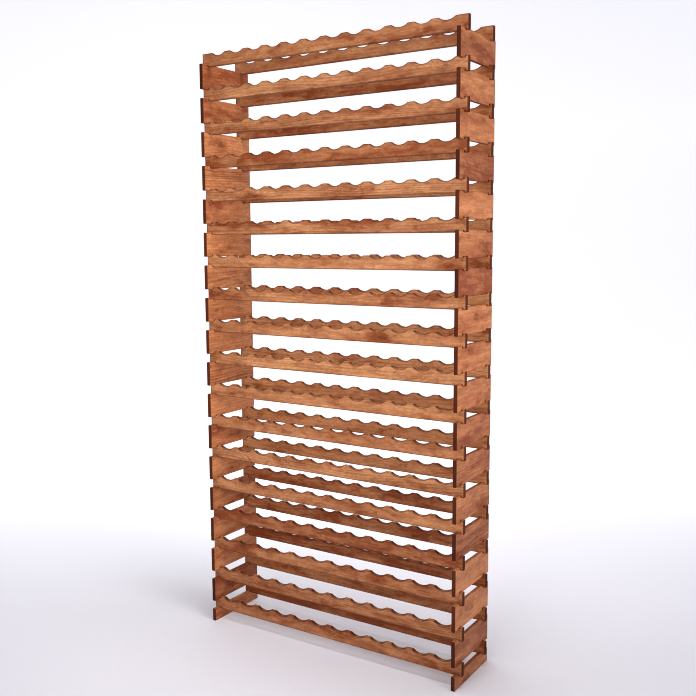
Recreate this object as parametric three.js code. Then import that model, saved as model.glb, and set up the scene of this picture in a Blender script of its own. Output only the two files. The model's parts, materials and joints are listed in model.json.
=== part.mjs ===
// Interlocking wine rack, in millimetres, +Z up, the front facing -Y and the width along X.
// Scalloped rails run across the front and the back. Plain side boards run front to back over and under the
// rails, like the logs of a cabin, and every crossing is a shallow cross-lap, so nothing is nailed or screwed.
import * as THREE from "three";

// Driving dimensions
const BOARDS_PER_SIDE = 17;
const TIER_PITCH = 120;
const STOCK_THICKNESS = 12.7;

const BOARD_HEIGHT = 88.5;
const BOARD_LENGTH = 260;
const BASE_BOARD_HEIGHT = 48;

const RAIL_HEIGHT = 47.5;
const RAIL_SET_IN = 33;
const RAIL_OVERHANG = 12.5;

const SCALLOPS_PER_RAIL = 12;
const SCALLOP_PITCH = 82.5;
const SCALLOP_WIDTH = 59;
const SCALLOP_DEPTH = 10;
const SCALLOP_ARC_STEPS = 2;

const BOARD_OUTER_X = 515;
const FIT_GAP = 0.3;
const TIE_WIDTH = 60;
const TIED_PAIRS_PER_SIDE = 6;

// Derived dimensions
const LAP_DEPTH = (RAIL_HEIGHT + BOARD_HEIGHT - TIER_PITCH) / 2;
const NOTCH_DEPTH = LAP_DEPTH / 2 + FIT_GAP / 2;
const NOTCH_WIDTH = STOCK_THICKNESS + 2 * FIT_GAP;
const RAIL_LENGTH = 2 * (BOARD_OUTER_X + RAIL_OVERHANG);
const BOARD_CENTRE_X = BOARD_OUTER_X - STOCK_THICKNESS / 2;
const RAIL_CENTRE_Y = BOARD_LENGTH / 2 - RAIL_SET_IN - STOCK_THICKNESS / 2;
const SCALLOP_RADIUS = SCALLOP_WIDTH ** 2 / (8 * SCALLOP_DEPTH) + SCALLOP_DEPTH / 2;
const SCALLOP_HALF_ANGLE = Math.asin(SCALLOP_WIDTH / 2 / SCALLOP_RADIUS);
const RAIL_COUNT = BOARDS_PER_SIDE + 1;

// Heights of the stack, counted from the floor up. Rail 1 lies on the base boards, and board 1 on rail 1.
const railBottom = (tier) => BASE_BOARD_HEIGHT - LAP_DEPTH + (tier - 1) * TIER_PITCH;
const boardBottom = (tier) => (tier === 0 ? 0 : railBottom(tier) + RAIL_HEIGHT - LAP_DEPTH);
const boardTop = (tier) => (tier === 0 ? BASE_BOARD_HEIGHT : boardBottom(tier) + BOARD_HEIGHT);

// Stained pine: the wide faces of the rails are paler than those of the side boards
const RAIL_STAIN = { light: new THREE.Color(0xcb875a), dark: new THREE.Color(0xa9653f) };
const BOARD_STAIN = { light: new THREE.Color(0xb1704c), dark: new THREE.Color(0x8f5638) };
const STAIN_STEP = 0.618;

function stainedPine(stain, tier) {
  const shade = (tier * STAIN_STEP) % 1;
  const color = stain.light.clone().lerp(stain.dark, shade);
  return new THREE.MeshStandardMaterial({ color, roughness: 0.55, metalness: 0 });
}

// Four corners of a notch cut to a depth into a straight edge, in the direction of increasing distance
function notchCorners(centre, edge, depth) {
  const near = centre - NOTCH_WIDTH / 2;
  const far = centre + NOTCH_WIDTH / 2;
  return [[near, edge], [near, edge + depth], [far, edge + depth], [far, edge]];
}

// Scalloped rail, seen from the front: the bottom is notched over the side boards below, and the top is
// notched under the side boards above, unless it is the top rail, which has nothing above it.
function railOutline(isTop) {
  const end = RAIL_LENGTH / 2;
  const bottomNotches = [
    ...notchCorners(-BOARD_CENTRE_X, 0, NOTCH_DEPTH),
    ...notchCorners(BOARD_CENTRE_X, 0, NOTCH_DEPTH),
  ];
  const rightTopNotch = isTop ? [] : notchCorners(BOARD_CENTRE_X, RAIL_HEIGHT, -NOTCH_DEPTH).reverse();
  const leftTopNotch = isTop ? [] : notchCorners(-BOARD_CENTRE_X, RAIL_HEIGHT, -NOTCH_DEPTH).reverse();

  const outline = new THREE.Shape();
  outline.moveTo(-end, 0);
  for (const [x, z] of bottomNotches) outline.lineTo(x, z);
  outline.lineTo(end, 0);
  outline.lineTo(end, RAIL_HEIGHT);
  for (const [x, z] of rightTopNotch) outline.lineTo(x, z);
  for (let scallop = SCALLOPS_PER_RAIL - 1; scallop >= 0; scallop -= 1) {
    const centreX = (scallop - (SCALLOPS_PER_RAIL - 1) / 2) * SCALLOP_PITCH;
    const centreZ = RAIL_HEIGHT - SCALLOP_DEPTH + SCALLOP_RADIUS;
    const down = -Math.PI / 2;
    const from = down + SCALLOP_HALF_ANGLE;
    const to = down - SCALLOP_HALF_ANGLE;
    outline.absarc(centreX, centreZ, SCALLOP_RADIUS, from, to, true);
  }
  for (const [x, z] of leftTopNotch) outline.lineTo(x, z);
  outline.lineTo(-end, RAIL_HEIGHT);
  outline.closePath();
  return outline;
}

// Back half of a side board's outline, seen from the side, from its bottom edge round to its top edge.
// The base board stands flat on the floor, so it has a notch in its top edge only.
function backHalfOfBoard(tier) {
  const end = BOARD_LENGTH / 2;
  const bottom = boardBottom(tier);
  const top = boardTop(tier);
  const bottomNotch = tier === 0 ? [] : notchCorners(RAIL_CENTRE_Y, bottom, NOTCH_DEPTH);
  const topNotch = notchCorners(RAIL_CENTRE_Y, top, -NOTCH_DEPTH).reverse();
  return [...bottomNotch, [end, bottom], [end, top], ...topNotch];
}

// One side board, or two that a short tie joins across the slit between them
function boardOutline(tiers) {
  const backHalf = backHalfOfBoard(tiers[0]);
  for (const tier of tiers.slice(1)) {
    backHalf.push([TIE_WIDTH / 2, boardTop(tier - 1)]);
    backHalf.push([TIE_WIDTH / 2, boardBottom(tier)]);
    backHalf.push(...backHalfOfBoard(tier));
  }
  const frontHalf = backHalf.map(([y, z]) => [-y, z]).reverse();
  return new THREE.Shape([...backHalf, ...frontHalf].map(([y, z]) => new THREE.Vector2(y, z)));
}

// A plank of the stock thickness cut to an outline, its middle plane through the local origin
function cutPlank(outline) {
  const geometry = new THREE.ExtrudeGeometry(outline, {
    depth: STOCK_THICKNESS,
    bevelEnabled: false,
    curveSegments: SCALLOP_ARC_STEPS,
  });
  return geometry.translate(0, 0, -STOCK_THICKNESS / 2);
}

const X_AXIS = new THREE.Vector3(1, 0, 0);
const Y_AXIS = new THREE.Vector3(0, 1, 0);
const Z_AXIS = new THREE.Vector3(0, 0, 1);
const STANDS_ACROSS = new THREE.Matrix4().makeBasis(X_AXIS, Z_AXIS, Y_AXIS.clone().negate());
const STANDS_FRONT_TO_BACK = new THREE.Matrix4().makeBasis(Y_AXIS, Z_AXIS, X_AXIS);

const twoDigits = (number) => String(number).padStart(2, "0");

function rail(side, tier) {
  const geometry = cutPlank(railOutline(tier === RAIL_COUNT));
  const mesh = new THREE.Mesh(geometry, stainedPine(RAIL_STAIN, tier));
  mesh.name = `${side}_rail_${twoDigits(tier)}`;
  mesh.quaternion.setFromRotationMatrix(STANDS_ACROSS);
  mesh.position.set(0, side === "front" ? -RAIL_CENTRE_Y : RAIL_CENTRE_Y, railBottom(tier));
  return mesh;
}

function sideBoard(side, tiers) {
  const mesh = new THREE.Mesh(cutPlank(boardOutline(tiers)), stainedPine(BOARD_STAIN, tiers[0]));
  mesh.name = sideBoardName(side, tiers);
  mesh.quaternion.setFromRotationMatrix(STANDS_FRONT_TO_BACK);
  mesh.position.x = side === "left" ? -BOARD_CENTRE_X : BOARD_CENTRE_X;
  return mesh;
}

function sideBoardName(side, tiers) {
  if (tiers.length === 1) return `${side}_board_${twoDigits(tiers[0])}`;
  if (tiers[0] === 0) return `${side}_base_and_board_${twoDigits(tiers[1])}`;
  return `${side}_boards_${tiers.map(twoDigits).join("_")}`;
}

// The lowest boards of each side are tied two and two, from the base board up, and the rest are single
function boardGroups() {
  const groups = [];
  for (let tier = 0; tier <= BOARDS_PER_SIDE; tier += groups.at(-1).length) {
    const tied = groups.length < TIED_PAIRS_PER_SIDE;
    groups.push(tied ? [tier, tier + 1] : [tier]);
  }
  return groups;
}

const group = new THREE.Group();
for (let tier = 1; tier <= RAIL_COUNT; tier += 1) {
  group.add(rail("front", tier));
  group.add(rail("back", tier));
}
for (const tiers of boardGroups()) {
  group.add(sideBoard("left", tiers));
  group.add(sideBoard("right", tiers));
}

export default group;
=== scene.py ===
import json
import math
import random

import bpy
from mathutils import Euler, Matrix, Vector


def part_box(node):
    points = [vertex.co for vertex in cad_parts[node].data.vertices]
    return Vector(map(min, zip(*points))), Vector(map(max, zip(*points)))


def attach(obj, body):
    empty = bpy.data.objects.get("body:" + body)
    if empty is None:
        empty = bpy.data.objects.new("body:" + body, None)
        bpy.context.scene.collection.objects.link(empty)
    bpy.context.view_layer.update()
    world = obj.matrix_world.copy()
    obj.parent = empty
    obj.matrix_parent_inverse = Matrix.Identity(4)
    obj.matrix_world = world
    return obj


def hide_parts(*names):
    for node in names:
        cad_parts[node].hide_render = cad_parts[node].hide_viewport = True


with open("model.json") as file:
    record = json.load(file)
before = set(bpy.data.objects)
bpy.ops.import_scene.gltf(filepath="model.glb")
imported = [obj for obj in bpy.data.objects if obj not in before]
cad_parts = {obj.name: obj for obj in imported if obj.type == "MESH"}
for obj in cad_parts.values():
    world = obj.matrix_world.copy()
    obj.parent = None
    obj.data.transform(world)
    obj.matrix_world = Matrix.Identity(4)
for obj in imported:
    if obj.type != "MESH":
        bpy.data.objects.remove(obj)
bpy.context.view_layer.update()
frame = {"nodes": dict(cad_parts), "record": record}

# A tall wine rack of stained pine, built like a log cabin from 36 scalloped rails and 36 plain side boards.
# Every plank is a mesh of its own. The front faces -Y and the rails run along X.

# --- Sizes, in metres -------------------------------------------------------------------------------------

SCALLOPS = 12
SCALLOP_PITCH = 0.0825
SCALLOP_WIDTH = 0.059
SCALLOP_DEPTH = 0.010
CREST_ROUND = 0.007
VALLEY_STEPS = 12
CREST_STEPS = 4

# The long edges of a plank are eased, and the stain darkens a rim of its faces beside them
EDGE_ROUND = 0.00125
EDGE_MIDDLE = 0.29 * EDGE_ROUND
RIM_WIDTH = 0.0038

# A corner that turns by more than the sharp angle is rounded. That takes at most a share of each stretch
# beside it
SHARP_ANGLE = math.radians(15)
CORNER_ROUND = 0.0025
CORNER_SHARE = 0.45
CORNER_STEPS = 3

# An outline that is pulled in moves its corners further than its sides, at most 1 / LEAST_LEAN times as far
LEAST_LEAN = 0.5

# The wide faces rule the shading of the points that they share with the eased edges
FLAT_FACE_WEIGHT = 100

FIT_GAP = 0.0003

RAIL_NODES = [name for name in frame["nodes"] if "_rail_" in name]
TIERS = len(RAIL_NODES) // 2

# The top board of each side is a node of its own, and shows how far a rail and a board lap
TOP_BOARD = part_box(f"left_board_{TIERS - 1:02d}")
LAP = TOP_BOARD[1].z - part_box(f"front_rail_{TIERS:02d}")[0].z
NOTCH_DEPTH = LAP / 2 + FIT_GAP / 2

# --- Outlines ---------------------------------------------------------------------------------------------


def arc(centre, radius, start, end, steps):
    """Points on an arc, from one angle to another in radians, both ends included."""
    angles = [start + (end - start) * step / steps for step in range(steps + 1)]
    return [(centre[0] + radius * math.cos(a), centre[1] + radius * math.sin(a)) for a in angles]


def notch(middle, edge, depth, width):
    """The corners of a notch cut into a straight edge, in the direction of increasing distance."""
    near, far = middle - width / 2, middle + width / 2
    return [(near, edge), (near, edge + depth), (far, edge + depth), (far, edge)]


def scallop(middle, top):
    """One round hollow in a rail's top edge with its rounded shoulders, from right to left."""
    radius = SCALLOP_WIDTH**2 / (8 * SCALLOP_DEPTH) + SCALLOP_DEPTH / 2
    rise = radius - SCALLOP_DEPTH
    shoulder_x = math.sqrt((radius + CREST_ROUND) ** 2 - (rise + CREST_ROUND) ** 2)
    swing = math.asin(shoulder_x / (radius + CREST_ROUND))
    up, down = math.pi / 2, -math.pi / 2
    shoulder_y = top - CREST_ROUND
    right = arc((middle + shoulder_x, shoulder_y), CREST_ROUND, up, up + swing, CREST_STEPS)
    hollow = arc((middle, top + rise), radius, down + swing, down - swing, VALLEY_STEPS)
    left = arc((middle - shoulder_x, shoulder_y), CREST_ROUND, up - swing, up, CREST_STEPS)
    return right + hollow[1:-1] + left


def rail_outline(length, height, notch_x, notch_width, notched_on_top):
    """A scalloped rail, anticlockwise, from its bottom left corner, with the origin at its middle."""
    end, top = length / 2, height / 2
    points = [(-end, -top)]
    points += notch(-notch_x, -top, NOTCH_DEPTH, notch_width)
    points += notch(notch_x, -top, NOTCH_DEPTH, notch_width)
    points += [(end, -top), (end, top)]
    if notched_on_top:
        points += reversed(notch(notch_x, top, -NOTCH_DEPTH, notch_width))
    for index in reversed(range(SCALLOPS)):
        points += scallop((index - (SCALLOPS - 1) / 2) * SCALLOP_PITCH, top)
    if notched_on_top:
        points += reversed(notch(-notch_x, top, -NOTCH_DEPTH, notch_width))
    return points + [(-end, top)]


def board_outline(length, height, notch_y, notch_width, notched_below):
    """A side board, anticlockwise, from its bottom front corner, with the origin at its middle."""
    end, top = length / 2, height / 2
    points = [(-end, -top)]
    if notched_below:
        points += notch(-notch_y, -top, NOTCH_DEPTH, notch_width)
        points += notch(notch_y, -top, NOTCH_DEPTH, notch_width)
    points += [(end, -top), (end, top)]
    points += reversed(notch(notch_y, top, -NOTCH_DEPTH, notch_width))
    points += reversed(notch(-notch_y, top, -NOTCH_DEPTH, notch_width))
    return points + [(-end, top)]


def with_round_corners(points):
    """The outline with each sharp corner turned into a small arc. Smooth stretches stay as they are.

    Each new point comes with the index of the point that it stands for.
    """
    rounded = []
    for index, corner in enumerate(points):
        before = points[index - 1] - corner
        after = points[(index + 1) % len(points)] - corner
        if before.angle(-after) < SHARP_ANGLE:
            rounded.append((corner, index))
            continue
        reach = min(CORNER_ROUND, CORNER_SHARE * before.length, CORNER_SHARE * after.length)
        start, end = corner + before.normalized() * reach, corner + after.normalized() * reach
        for step in range(CORNER_STEPS + 1):
            part = step / CORNER_STEPS
            rounded.append((start.lerp(corner, part).lerp(corner.lerp(end, part), part), index))
    return [point for point, _ in rounded], [index for _, index in rounded]


def pulled_in(points, distance):
    """The outline moved inwards by a distance, each point along the middle of its corner."""
    moved = []
    for index, point in enumerate(points):
        ahead = (points[(index + 1) % len(points)] - point).normalized()
        behind = (point - points[index - 1]).normalized()
        inward = Vector((-(ahead.y + behind.y), ahead.x + behind.x)).normalized()
        lean = max(inward.dot(Vector((-ahead.y, ahead.x))), LEAST_LEAN)
        moved.append(point + inward * (distance / lean))
    return moved


def cut_across(points):
    """How far the outline runs across the grain at each point, from 0 along the grain to 1 square to it."""
    count = len(points)
    return [abs((points[(i + 1) % count] - points[i - 1]).normalized().y) for i in range(count)]


# --- Planks -----------------------------------------------------------------------------------------------


def plank_faces(rim_size, corner_of, ring_count):
    """The faces of a plank, whose points are one side's rim, rings round the edge and the other side's rim.

    corner_of says, for each point of a ring, which point of the rims it stands for. The innermost rings are
    joined to the rims, and a single face fills each rim.
    """
    count = len(corner_of)
    first_ring = rim_size
    last_ring = first_ring + (ring_count - 1) * count
    far_rim = last_ring + count
    faces = [tuple(reversed(range(first_ring))), tuple(range(far_rim, far_rim + rim_size))]
    for index in range(count):
        following = (index + 1) % count
        for ring in range(first_ring, last_ring, count):
            faces.append((ring + index, ring + following, ring + count + following, ring + count + index))
        corner, next_corner = corner_of[index], corner_of[following]
        near = (corner, next_corner, first_ring + following, first_ring + index)
        far = (last_ring + index, last_ring + following, far_rim + next_corner, far_rim + corner)
        faces.append(near if corner != next_corner else near[1:])
        faces.append(far if corner != next_corner else far[:3])
    return faces


def store(mesh, name, kind, values):
    """Keeps a value, or the three parts of a vector, with each point of the mesh."""
    attribute = mesh.attributes.new(name, kind, "POINT")
    attribute.data.foreach_set("vector" if kind == "FLOAT_VECTOR" else "value", values)


def plank(name, outline, thickness, middle, along, through):
    """A board of one thickness cut to an outline and stood on its edge, with its long edges eased.

    along and through are the row's directions of the outline's length and of the thickness. The mesh keeps
    each point's place in the wood, along the grain, up and through, in its attribute named plank. The one
    named rim says how near the point is to an edge, and the one named across how far that edge is cut
    across the grain.
    """
    corners = [Vector(point) for point in outline]
    rounded, corner_of = with_round_corners(corners)
    half = thickness / 2
    rings = []
    for inset, depth in ((EDGE_ROUND, 0), (EDGE_MIDDLE, EDGE_MIDDLE), (0, EDGE_ROUND)):
        rings.append((pulled_in(rounded, inset), depth - half))
    rings += [(ring, -depth) for ring, depth in reversed(rings)]
    rim = pulled_in(corners, RIM_WIDTH)

    places = [(point.x, point.y, -half) for point in rim]
    places += [(point.x, point.y, depth) for ring, depth in rings for point in ring]
    places += [(point.x, point.y, half) for point in rim]
    nearness = [0.0] * len(rim) + [1.0] * (len(rounded) * len(rings)) + [0.0] * len(rim)
    across = cut_across(corners) + cut_across(rounded) * len(rings) + cut_across(corners)

    up = Vector((0, 0, 1))
    faces = plank_faces(len(rim), corner_of, len(rings))
    if along.cross(up).dot(through) < 0:
        faces = [tuple(reversed(face)) for face in faces]

    mesh = bpy.data.meshes.new(name)
    mesh.from_pydata([middle + along * x + up * y + through * z for x, y, z in places], [], faces)
    store(mesh, "plank", "FLOAT_VECTOR", [value for place in places for value in place])
    store(mesh, "rim", "FLOAT", nearness)
    store(mesh, "across", "FLOAT", across)
    mesh.shade_smooth()
    piece = bpy.data.objects.new(name, mesh)
    bpy.context.scene.collection.objects.link(piece)
    flat_faces = piece.modifiers.new("flat_faces", "WEIGHTED_NORMAL")
    flat_faces.mode = "FACE_AREA"
    flat_faces.weight = FLAT_FACE_WEIGHT
    return piece


# --- Node materials ---------------------------------------------------------------------------------------


class Shader:
    """A node material as it is built up. Most methods add a node and return its output socket."""

    def __init__(self, name):
        self.material = bpy.data.materials.new(name)
        self.material.use_nodes = True
        self.tree = self.material.node_tree
        self.tree.nodes.clear()

    def add(self, kind, inputs, output=0, **settings):
        node = self.tree.nodes.new(kind)
        for setting, value in settings.items():
            setattr(node, setting, value)
        for key, value in inputs.items():
            if isinstance(value, bpy.types.NodeSocket):
                self.tree.links.new(value, node.inputs[key])
            else:
                node.inputs[key].default_value = value
        return node.outputs[output] if node.outputs else None

    def math(self, operation, *values, clamp=False):
        inputs = dict(enumerate(values))
        return self.add("ShaderNodeMath", inputs, operation=operation, use_clamp=clamp)

    def vector_math(self, operation, *values, output="Vector"):
        inputs = dict(enumerate(values))
        return self.add("ShaderNodeVectorMath", inputs, output, operation=operation)

    def times(self, first, second):
        return self.math("MULTIPLY", first, second)

    def plus(self, base, value, share=1.0, clamp=False):
        """A share of the value added to the base."""
        return self.math("MULTIPLY_ADD", value, share, base, clamp=clamp)

    def step(self, value, low, high):
        """0 below low, 1 above high and smooth between, or the other way round if high is the smaller."""
        inputs = {"Value": value, "From Min": low, "From Max": high}
        return self.add("ShaderNodeMapRange", inputs, interpolation_type="SMOOTHSTEP")

    def remap(self, value, low, high):
        """A value from 0 to 1 spread from low to high."""
        return self.add("ShaderNodeMapRange", {"Value": value, "To Min": low, "To Max": high})

    def swing(self, value, amount):
        """A value from 0 to 1 as a factor from 1 - amount to 1 + amount."""
        return self.remap(value, 1.0 - amount, 1.0 + amount)

    def blend(self, factor, first, second, mode="MIX"):
        node_inputs = {0: factor, 6: first, 7: second}
        return self.add("ShaderNodeMix", node_inputs, 2, data_type="RGBA", blend_type=mode)

    def split(self, vector):
        node = self.add("ShaderNodeSeparateXYZ", {0: vector}).node
        return node.outputs[0], node.outputs[1], node.outputs[2]

    def join(self, x, y, z):
        return self.add("ShaderNodeCombineXYZ", {0: x, 1: y, 2: z})

    def noise(self, place, scale, detail=2.0, roughness=0.5, output=0):
        inputs = {"Vector": place, "Scale": scale, "Detail": detail, "Roughness": roughness}
        return self.add("ShaderNodeTexNoise", inputs, output)

    def chance(self, seed, output="Value"):
        """A random number that belongs to the seed, or three of them with the output Color."""
        return self.add("ShaderNodeTexWhiteNoise", {"W": seed}, output, noise_dimensions="1D")

    def own(self, name):
        """A property that the piece carries."""
        return self.add("ShaderNodeAttribute", {}, "Fac", attribute_type="OBJECT", attribute_name=name)

    def stored(self, name, output="Fac"):
        """A value that the mesh keeps with each of its points."""
        return self.add("ShaderNodeAttribute", {}, output, attribute_name=name)

    def finish(self, inputs):
        """Makes the surface from the inputs of its shader and returns the material."""
        surface = self.add("ShaderNodeBsdfPrincipled", inputs)
        self.add("ShaderNodeOutputMaterial", {"Surface": surface})
        return self.material


# --- Stained pine -----------------------------------------------------------------------------------------

# Base colours, linear. The pale and the deep stain differ between the rails and the side boards
RAIL_PALE = (0.60, 0.265, 0.113, 1)
RAIL_DEEP = (0.255, 0.060, 0.016, 1)
BOARD_PALE = (0.58, 0.227, 0.090, 1)
BOARD_DEEP = (0.242, 0.056, 0.016, 1)
KNOT_BROWN = (0.10, 0.026, 0.008, 1)
# The dark edge colour is the stain soaked in beside cut edges, and also painted shade on the lower edges
SOAKED_AND_SHADED_EDGE = (0.080, 0.018, 0.006, 1)
SOAKED_END_PALE = (0.092, 0.016, 0.003, 1)
SOAKED_END_DEEP = (0.042, 0.007, 0.002, 1)
RUBBED_WOOD = (0.55, 0.27, 0.13, 1)

# Knots: the places for one to the metre, their sizes, and the reach of a knot and of the swirl round it
KNOTS_ALONG = 3.4
KNOTS_ACROSS = 7.5
KNOT_ROW_SHIFT = 3.7
KNOT_WOBBLE = 0.06
KNOT_CHANCE_STEP = 0.02
KNOT_SIZES = (0.6, 1.4)
KNOT_EDGE = (0.06, 0.03)
SWIRL_EDGE = (0.26, 0.05)

# Growth rings: how far the pith lies from the middle of the plank, in metres, and how far it wanders
PITH_UP = (-0.06, 0.06)
PITH_THROUGH = (0.015, 0.08)
WANDERS_PER_METRE = 1.9
WANDER_UP = 0.04
WANDER_THROUGH = 0.06
RINGS_PER_METRE = (130.0, 210.0)
RINGS_ROUND_A_KNOT = 3.2
RING_DARKENS = (0.20, 0.86)
RING_ENDS = (1.0, 0.90)
FAINTEST_RING = 0.25

# How strongly each feature of the wood shows in its colour. The rings are bolder on some planks than others
PLAIN_RINGS = 0.5
BOLD_RINGS = 2.0
STREAK_SWING = 0.34
MOTTLE_SWING = 0.46
FIBRE_SWING = 0.32
PORE_DEPTH = 0.18
KNOT_DEPTH = 0.5
BETWEEN_RINGS = 1.04

# How far the depth of the stain, from 0 to 1, varies within a plank
BLOTCH_SPREAD = 0.95
CLOUD_SPREAD = 0.60
PATCH_DEPTH = 0.26
SWIRL_DEPTH = 0.35

# Cut edges: where they start and end, the curve from along the grain to square to it, and how much of the
# soaked colour shows. The lower half of the edges gets the same dark colour as painted shade
EDGE_FACING = (0.97, 0.78)
CUT_CURVE = 0.6
RIM_EDGE = (0.0, 0.35)
RIM_STRENGTH = 0.80
LOWER_HALF = (0.0, -0.01)
LOWER_EDGE_SHADE = 0.6
END_GRAIN_GAIN = 1.4
END_GRAIN_STRENGTH = 0.97

EASED_FACING = (0.2, 0.4)
RUBBED_STRENGTH = 0.4

# The levels of a noise between which its spots start and are full
PORE_LEVELS = (0.64, 0.74)
PATCH_LEVELS = (0.56, 0.63)
RUBBED_LEVELS = (0.56, 0.66)

# The satin finish, and how much rougher or smoother each feature makes it
SATIN_ROUGHNESS = 0.42
SATIN_SPECULAR = 0.22
SATIN_IOR = 1.46
FIBRE_ROUGHNESS = 0.16
BLOTCH_ROUGHNESS = 0.10
CUT_ROUGHNESS = 0.35
RING_ROUGHNESS = -0.06

# The relief of the grain, in metres, and how far each feature stands out against a fibre
GRAIN_BUMP = 0.0006
GRAIN_BUMP_STRENGTH = 0.30
RING_HEIGHT = 0.5
PORE_HEIGHT = -0.8
KNOT_HEIGHT = -0.6

ALONG_X = 0
ALONG_Y = 1
UP_AXIS = 2


class Pine(Shader):
    """Pine as it grew and took its stain. A feature of the wood is as strong as its value, from 0 to 1."""

    def __init__(self, name, grain_axis):
        super().__init__(name)
        place = self.stored("plank", "Vector")
        self.along, self.up, self.through = self.split(place)
        self.seed = self.own("seed")
        # The depth of the plank's stain, which near the floor is partly painted shade
        self.stain = self.own("stain")
        self.seeded = self.vector_math("ADD", place, self.join(self.seed, self.seed, 0.0))
        self.chances = self.split(self.chance(self.seed, "Color"))

        normal = self.add("ShaderNodeTexCoord", {}, "Normal")
        facing = [self.math("ABSOLUTE", value) for value in self.split(normal)]
        self.facing_along = facing[grain_axis]
        self.facing_through = facing[1 - grain_axis]
        self.facing_up = facing[UP_AXIS]
        self.edge = self.step(self.facing_through, *EDGE_FACING)

    def grain(self, along, across, detail, roughness=0.5):
        """Noise drawn out along the grain. along and across are its spots to the metre."""
        stretched = self.vector_math("MULTIPLY", self.seeded, (along, across, across))
        return self.noise(stretched, 1.0, detail, roughness)

    def knots(self, share):
        """Long oval knots at a share of the places for one, and the swirl of darker grain round each."""
        wobble = self.grain(along=45.0, across=90.0, detail=2.0)
        wobble = self.plus(-KNOT_WOBBLE, wobble, 2 * KNOT_WOBBLE)
        row_along = self.plus(self.seed, self.along, KNOTS_ALONG)
        row_up = self.plus(self.times(self.seed, KNOT_ROW_SHIFT), self.up, KNOTS_ACROSS)
        place = self.join(self.plus(row_along, wobble), self.plus(row_up, wobble), 0.0)
        inputs = {"Vector": place, "Scale": 1.0}
        distance = self.add("ShaderNodeTexVoronoi", inputs, "Distance", voronoi_dimensions="2D")
        chance, size, _ = self.split(distance.node.outputs["Color"])
        there = self.step(chance, 1.0 - share, 1.0 - share + KNOT_CHANCE_STEP)
        distance = self.math("DIVIDE", distance, self.remap(size, *KNOT_SIZES))
        knot = self.times(self.step(distance, *KNOT_EDGE), there)
        swirl = self.times(self.step(distance, *SWIRL_EDGE), there)
        return knot, swirl

    def late_wood(self, swirl):
        """The dark part of each growth ring. The rings are shells round a pith that wanders nearby."""
        chance_up, chance_through, chance_rings = self.chances
        down_the_plank = self.join(self.plus(self.seed, self.along, WANDERS_PER_METRE), self.seed, 0.0)
        _, wander_up, wander_through = self.split(self.noise(down_the_plank, 1.0, 1.0, output="Color"))
        from_pith_up = self.plus(self.up, wander_up, WANDER_UP)
        from_pith_up = self.plus(from_pith_up, self.remap(chance_up, *PITH_UP))
        from_pith_through = self.plus(self.through, wander_through, WANDER_THROUGH)
        from_pith_through = self.plus(from_pith_through, self.remap(chance_through, *PITH_THROUGH))
        from_pith = self.join(from_pith_up, from_pith_through, 0.0)

        radius = self.vector_math("LENGTH", from_pith, output="Value")
        rings = self.times(radius, self.remap(chance_rings, *RINGS_PER_METRE))
        rings = self.plus(rings, self.grain(along=7.0, across=30.0, detail=2.0))
        rings = self.plus(rings, swirl, RINGS_ROUND_A_KNOT)
        part = self.math("FRACT", rings)
        late = self.times(self.step(part, *RING_DARKENS), self.step(part, *RING_ENDS))
        own_strength = self.remap(self.chance(self.math("FLOOR", rings)), FAINTEST_RING, 1.0)
        return self.times(late, own_strength)

    def soaked_and_shaded(self, colour, rim_depth):
        """The colour darkened where cut wood drank more of the stain, and with painted shade on the lower
        edges.

        The stain darkens the ends, the slopes of the scallops and the rims beside them. The lower edges,
        which face down, are darkened as painted shade.
        """
        across = self.math("POWER", self.stored("across"), CUT_CURVE)
        rim = self.step(self.stored("rim"), *RIM_EDGE)
        rim = self.times(rim, self.math("SUBTRACT", 1.0, self.edge))
        rim = self.times(rim, self.remap(across, rim_depth, RIM_STRENGTH))
        colour = self.blend(rim, colour, SOAKED_AND_SHADED_EDGE)

        # Painted shade: the edges on the lower half of the plank, which face down, are darkened as if in
        # shadow
        shaded_lower_edge = self.times(self.edge, self.step(self.up, *LOWER_HALF))
        colour = self.blend(self.times(shaded_lower_edge, LOWER_EDGE_SHADE), colour, SOAKED_AND_SHADED_EDGE)

        end_grain = self.math("POWER", self.facing_along, CUT_CURVE)
        end_grain = self.math("MULTIPLY", end_grain, END_GRAIN_GAIN, clamp=True)
        end_wood = self.blend(self.stain, SOAKED_END_PALE, SOAKED_END_DEEP)
        return self.blend(self.times(end_grain, END_GRAIN_STRENGTH), colour, end_wood)

    def rubbed(self, colour):
        """The colour with the finish rubbed thin at spots along the eased edges."""
        eased = self.step(self.times(self.facing_through, self.facing_up), *EASED_FACING)
        spots = self.step(self.grain(along=40.0, across=40.0, detail=2.0), *RUBBED_LEVELS)
        return self.blend(self.times(self.times(eased, spots), RUBBED_STRENGTH), colour, RUBBED_WOOD)


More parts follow.
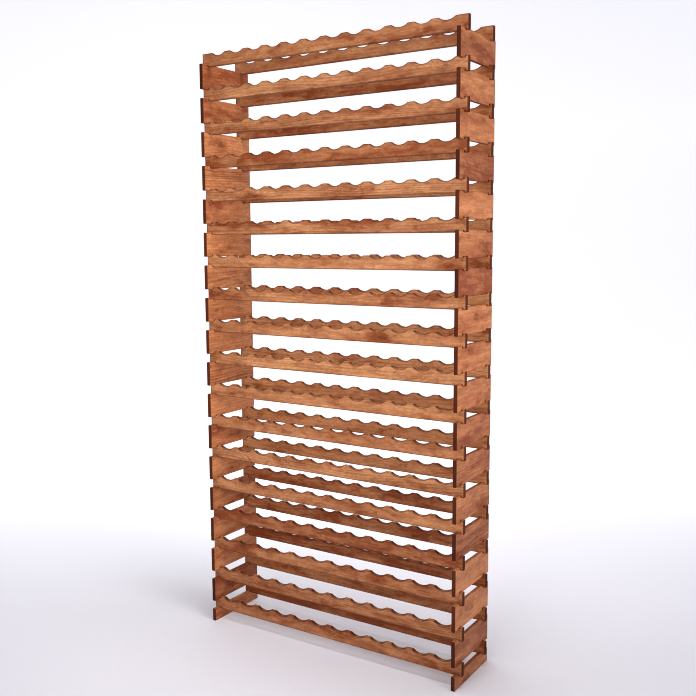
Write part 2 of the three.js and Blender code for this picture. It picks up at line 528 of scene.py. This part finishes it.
def stained_pine(name, pale, deep, grain_axis, rim_depth, knot_share, ring_depth):
    """Stained pine in satin: growth rings, fibres, blotches and knots, dark cut ends and rubbed edges.

    grain_axis is the row axis along which the planks of this material lie. rim_depth is how far the faces
    are darkened beside the long edges, knot_share how many of the places for a knot have one, and
    ring_depth how dark the late wood is.
    """
    pine = Pine(name, grain_axis)
    knot, swirl = pine.knots(knot_share)
    late_wood = pine.late_wood(swirl)
    streak = pine.grain(along=2.6, across=130.0, detail=4.0, roughness=0.65)
    mottle = pine.grain(along=70.0, across=150.0, detail=3.0, roughness=0.65)
    fibre = pine.grain(along=16.0, across=380.0, detail=3.0, roughness=0.6)
    pores = pine.step(pine.grain(along=32.0, across=950.0, detail=1.0), *PORE_LEVELS)

    # The stain: deeper on some planks, and uneven within each. On the planks near the floor the deeper
    # stain is partly painted shade
    blotch = pine.grain(along=4.0, across=16.0, detail=3.0, roughness=0.6)
    cloud = pine.grain(along=22.0, across=60.0, detail=3.0, roughness=0.6)
    patches = pine.step(pine.grain(along=13.0, across=26.0, detail=3.0, roughness=0.6), *PATCH_LEVELS)
    depth = pine.plus(pine.stain, pine.remap(blotch, -BLOTCH_SPREAD, BLOTCH_SPREAD))
    depth = pine.plus(depth, pine.remap(cloud, -CLOUD_SPREAD, CLOUD_SPREAD))
    depth = pine.plus(depth, patches, PATCH_DEPTH)
    depth = pine.plus(depth, swirl, SWIRL_DEPTH, clamp=True)
    colour = pine.blend(depth, pale, deep)

    # The grain: the rings are plain on most planks and bold on a few
    boldness = pine.math("POWER", pine.chances[0], 3.0)
    ring_shade = pine.remap(boldness, -PLAIN_RINGS * ring_depth, -BOLD_RINGS * ring_depth)
    shade = pine.plus(BETWEEN_RINGS, late_wood, ring_shade)
    shade = pine.times(shade, pine.swing(streak, STREAK_SWING))
    shade = pine.times(shade, pine.swing(mottle, MOTTLE_SWING))
    shade = pine.times(shade, pine.swing(fibre, FIBRE_SWING))
    shade = pine.plus(shade, pores, -PORE_DEPTH)
    colour = pine.blend(1.0, colour, pine.join(shade, shade, shade), "MULTIPLY")
    colour = pine.blend(pine.times(knot, KNOT_DEPTH), colour, KNOT_BROWN)
    # Dark soaked ends and cut edges, and painted shade on the lower edges
    colour = pine.soaked_and_shaded(colour, rim_depth)
    colour = pine.rubbed(colour)

    # The finish: duller on fibres, blotches and cut edges, with the grain just raised
    roughness = pine.plus(SATIN_ROUGHNESS, fibre, FIBRE_ROUGHNESS)
    roughness = pine.plus(roughness, blotch, BLOTCH_ROUGHNESS)
    roughness = pine.plus(roughness, pine.edge, CUT_ROUGHNESS)
    roughness = pine.plus(roughness, late_wood, RING_ROUGHNESS)
    height = pine.plus(fibre, late_wood, RING_HEIGHT)
    height = pine.plus(height, pores, PORE_HEIGHT)
    height = pine.plus(height, knot, KNOT_HEIGHT)
    inputs = {"Height": height, "Strength": GRAIN_BUMP_STRENGTH, "Distance": GRAIN_BUMP}
    bump = pine.add("ShaderNodeBump", inputs)
    return pine.finish({
        "Base Color": colour,
        "Roughness": roughness,
        "Normal": bump,
        "IOR": SATIN_IOR,
        "Specular IOR Level": SATIN_SPECULAR,
    })


RAIL_PINE = stained_pine(
    "rail_pine", RAIL_PALE, RAIL_DEEP, ALONG_X, rim_depth=0.50, knot_share=0.35, ring_depth=0.24
)
BOARD_PINE = stained_pine(
    "board_pine", BOARD_PALE, BOARD_DEEP, ALONG_Y, rim_depth=0.10, knot_share=0.22, ring_depth=0.26
)

# --- The rack ---------------------------------------------------------------------------------------------

SEEDS = (1.0, 60.0)

# How deeply each plank took the stain, from the floor up, a being the palest and e the deepest. The deep
# letters near the floor, most of all on the back rails, are partly painted shade, darkening the rack
# towards the bottom
STAIN_DEPTHS = {"a": 0.15, "b": 0.32, "c": 0.49, "d": 0.66, "e": 0.90}
STAIN_AND_SHADE_LETTERS = {
    "front_rail": "dcdecbcbaccbcbdcbc",
    "back_rail": "ededdbbbabbbbccddc",
    "left_board": "ceacdbcabbbaacbade",
    "right_board": "ddaadcddccbecbebbd",
}

ACROSS = Vector((1, 0, 0))
TO_BACK = Vector((0, 1, 0))


def body_of_node(node):
    bodies = frame["record"]["behaviour"]["bodies"]
    return next(body for body, nodes in bodies.items() if node in nodes)


def finish_piece(piece, kind, place, node, material):
    """Gives a plank its wood, its own growth and stain and the body that it rides on, and hides its CAD
    node.
    """
    growth = random.Random(piece.name)
    piece["seed"] = growth.uniform(*SEEDS)
    # The stain depth of a plank near the floor is partly painted shade
    piece["stain"] = STAIN_DEPTHS[STAIN_AND_SHADE_LETTERS[kind][place]]
    piece.data.materials.append(material)
    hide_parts(node)
    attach(piece, body_of_node(node))


def board_node(side, tier):
    """The CAD node that holds a side board. Some nodes hold two boards, and tier 0 is the base board."""
    wanted = f"{tier:02d}" if tier > 0 else "base"
    side_nodes = [node for node in frame["nodes"] if node.startswith(f"{side}_b")]
    return next(node for node in side_nodes if wanted in node.split("_"))


def make_rail(side, tier):
    node = f"{side}_rail_{tier:02d}"
    low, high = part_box(node)
    board_low, board_high = TOP_BOARD
    notch_x = -(board_low.x + board_high.x) / 2
    notch_width = board_high.x - board_low.x + 2 * FIT_GAP
    outline = rail_outline(high.x - low.x, high.z - low.z, notch_x, notch_width, tier < TIERS)
    piece = plank(f"{node}_wood", outline, high.y - low.y, (low + high) / 2, ACROSS, -TO_BACK)
    finish_piece(piece, f"{side}_rail", tier - 1, node, RAIL_PINE)


def make_board(side, tier):
    node = board_node(side, tier)
    low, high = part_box(node)
    rail_low, rail_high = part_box(f"back_rail_{max(tier, 1):02d}")
    bottom = low.z if tier == 0 else rail_high.z - LAP
    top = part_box(f"back_rail_{tier + 1:02d}")[0].z + LAP
    notch_y = (rail_low.y + rail_high.y) / 2
    notch_width = rail_high.y - rail_low.y + 2 * FIT_GAP
    outline = board_outline(high.y - low.y, top - bottom, notch_y, notch_width, tier > 0)
    name = f"{side}_base_board_wood" if tier == 0 else f"{side}_board_{tier:02d}_wood"
    middle = Vector(((low.x + high.x) / 2, (low.y + high.y) / 2, (bottom + top) / 2))
    piece = plank(name, outline, high.x - low.x, middle, TO_BACK, ACROSS)
    finish_piece(piece, f"{side}_board", tier, node, BOARD_PINE)


for tier in range(1, TIERS + 1):
    make_rail("front", tier)
    make_rail("back", tier)
for tier in range(TIERS):
    make_board("left", tier)
    make_board("right", tier)

# --- Studio -----------------------------------------------------------------------------------------------

# The camera stands to the right of the rack, a little above its middle, and looks slightly down
CAMERA_PLACE = Vector((1.694, -2.588, 1.458))
CAMERA_TURN = math.radians(32.715)
CAMERA_DIP = math.radians(6.98)
CAMERA_ROLL = math.radians(0.31)
SENSOR_WIDTH_MM = 36.0
LENS_MM = 45.63
PIXEL_FILTER_WIDTH = 1.0

PAPER_FRONT = -5.0
PAPER_BACK = 5.0
PAPER_BEND = 2.5
PAPER_HEIGHT = 7.0
PAPER_HALF_WIDTH = 9.0
BEND_STEPS = 24
PAPER_ROUGHNESS = 0.9
PAPER_SHADED = (0.80, 0.78, 0.83, 1)
PAPER_LIT = (0.84, 0.82, 0.87, 1)
# The paper's glow is painted light, an emission that brightens it towards its wall
PAPER_GLOW = (0.95, 0.96, 1, 1)
SPECKLES_PER_METRE = 60.0
GLOW_STARTS = -0.5
GLOW_FULL = 2.6
GLOW_STRENGTH = 0.60

AIR_COLOUR = (0.93, 0.94, 1.0, 1)
AIR_STRENGTH = 0.26


def make_camera():
    data = bpy.data.cameras.new("camera")
    data.sensor_width = SENSOR_WIDTH_MM
    data.lens = LENS_MM
    camera = bpy.data.objects.new("camera", data)
    camera.location = CAMERA_PLACE
    camera.rotation_euler = Euler((math.pi / 2 - CAMERA_DIP, CAMERA_ROLL, CAMERA_TURN))
    bpy.context.scene.collection.objects.link(camera)
    bpy.context.scene.camera = camera


def make_paper():
    """Pale paper. Its wall end glows with painted light, an emission that stands in for a lamp behind it,
    and the glow fades out towards the rack.
    """
    shader = Shader("studio_paper")
    place = shader.add("ShaderNodeTexCoord", {}, "Object")
    speckle = shader.noise(place, SPECKLES_PER_METRE, 3.0)
    colour = shader.blend(speckle, PAPER_SHADED, PAPER_LIT)
    _, distance, _ = shader.split(place)
    glow = shader.times(shader.step(distance, GLOW_STARTS, GLOW_FULL), GLOW_STRENGTH)
    return shader.finish({
        "Base Color": colour,
        "Roughness": PAPER_ROUGHNESS,
        "Emission Color": PAPER_GLOW,
        "Emission Strength": glow,
    })


def make_backdrop():
    """A sheet of paper that lies on the floor and sweeps up into a wall, square to the camera."""
    profile = [(PAPER_FRONT, 0.0)]
    profile += arc((PAPER_BACK - PAPER_BEND, PAPER_BEND), PAPER_BEND, -math.pi / 2, 0, BEND_STEPS)
    profile += [(PAPER_BACK, PAPER_HEIGHT)]
    corners = [(x, y, z) for y, z in profile for x in (-PAPER_HALF_WIDTH, PAPER_HALF_WIDTH)]
    faces = [(2 * i, 2 * i + 1, 2 * i + 3, 2 * i + 2) for i in range(len(profile) - 1)]
    mesh = bpy.data.meshes.new("backdrop")
    mesh.from_pydata(corners, [], faces)
    mesh.shade_smooth()
    mesh.materials.append(make_paper())
    backdrop = bpy.data.objects.new("backdrop", mesh)
    backdrop.rotation_euler.z = CAMERA_TURN
    bpy.context.scene.collection.objects.link(backdrop)


def make_air():
    world = bpy.data.worlds.new("studio_air")
    world.use_nodes = True
    background = world.node_tree.nodes["Background"]
    background.inputs["Color"].default_value = AIR_COLOUR
    background.inputs["Strength"].default_value = AIR_STRENGTH
    bpy.context.scene.world = world


def make_softbox(name, place, aim, width, spread, power, colour):
    """A square softbox. A grid in front of it holds its light within the spread, in degrees."""
    data = bpy.data.lights.new(name, "AREA")
    data.size = width
    data.spread = math.radians(spread)
    data.energy = power
    data.color = colour
    light = bpy.data.objects.new(name, data)
    light.location = place
    light.rotation_euler = (Vector(aim) - Vector(place)).to_track_quat("-Z", "Y").to_euler()
    light.visible_camera = False
    bpy.context.scene.collection.objects.link(light)


make_camera()
make_backdrop()
make_air()
make_softbox(
    "front_softbox",
    place=(0.3, -2.4, 1.6),
    aim=(0, 0, 1.25),
    width=1.3,
    spread=110,
    power=14.5,
    colour=(1, 0.98, 0.96),
)
make_softbox(
    "right_softbox",
    place=(3.1, -0.8, 1.4),
    aim=(0, 0, 1.35),
    width=1.3,
    spread=65,
    power=12.0,
    colour=(1, 0.95, 0.90),
)
make_softbox(
    "top_softbox",
    place=(0.3, -0.1, 3.9),
    aim=(0, 0, 0),
    width=1.2,
    spread=180,
    power=80,
    colour=(0.96, 0.97, 1),
)
bpy.context.scene.view_settings.view_transform = "Standard"
bpy.context.scene.cycles.filter_width = PIXEL_FILTER_WIDTH
